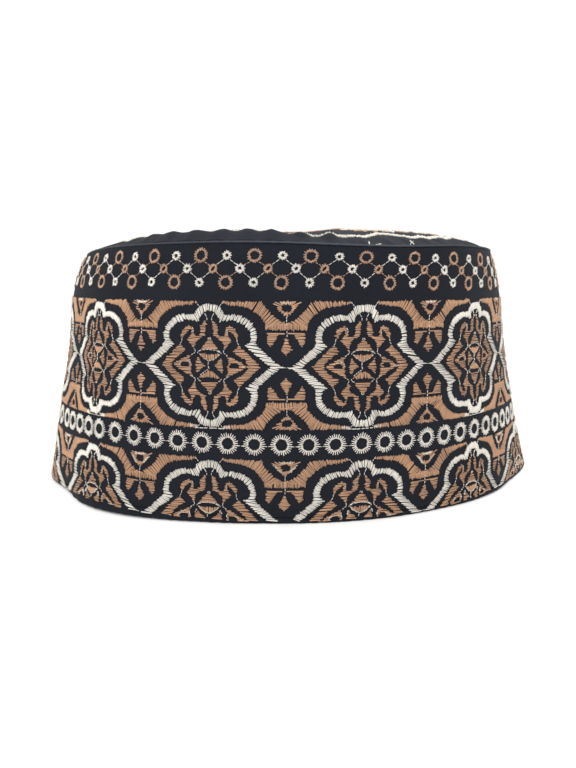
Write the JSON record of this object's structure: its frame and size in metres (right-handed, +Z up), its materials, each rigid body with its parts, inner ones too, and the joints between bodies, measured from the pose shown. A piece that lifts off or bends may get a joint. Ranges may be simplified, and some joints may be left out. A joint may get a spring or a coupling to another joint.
{
  "type": "kufi",
  "caption": "Round brimless cap with an upright embroidered side band, a low gathered crown and an open rim that a head goes into.",
  "frame": {"origin": "middle of the rim, on the surface that the cap rests on", "axes": "+Z up through the crown, +X to the wearer's side as seen from the front, where the rim is widest, and the front faces -Y"},
  "size_m": [0.2006, 0.1836, 0.0958],
  "materials": {
    "black_cloth": "close black cotton weave, matt with a faint sheen",
    "embroidered_cloth": "black cotton covered with tan and cream thread",
    "tan_thread": "tan rayon embroidery thread with a soft silk sheen",
    "cream_thread": "cream rayon embroidery thread with a soft silk sheen"
  },
  "bodies": {
    "root": {"rim_hem": "black_cloth", "side_band": "embroidered_cloth", "crown_seam": "black_cloth", "crown": "embroidered_cloth"}
  },
  "joints": []
}
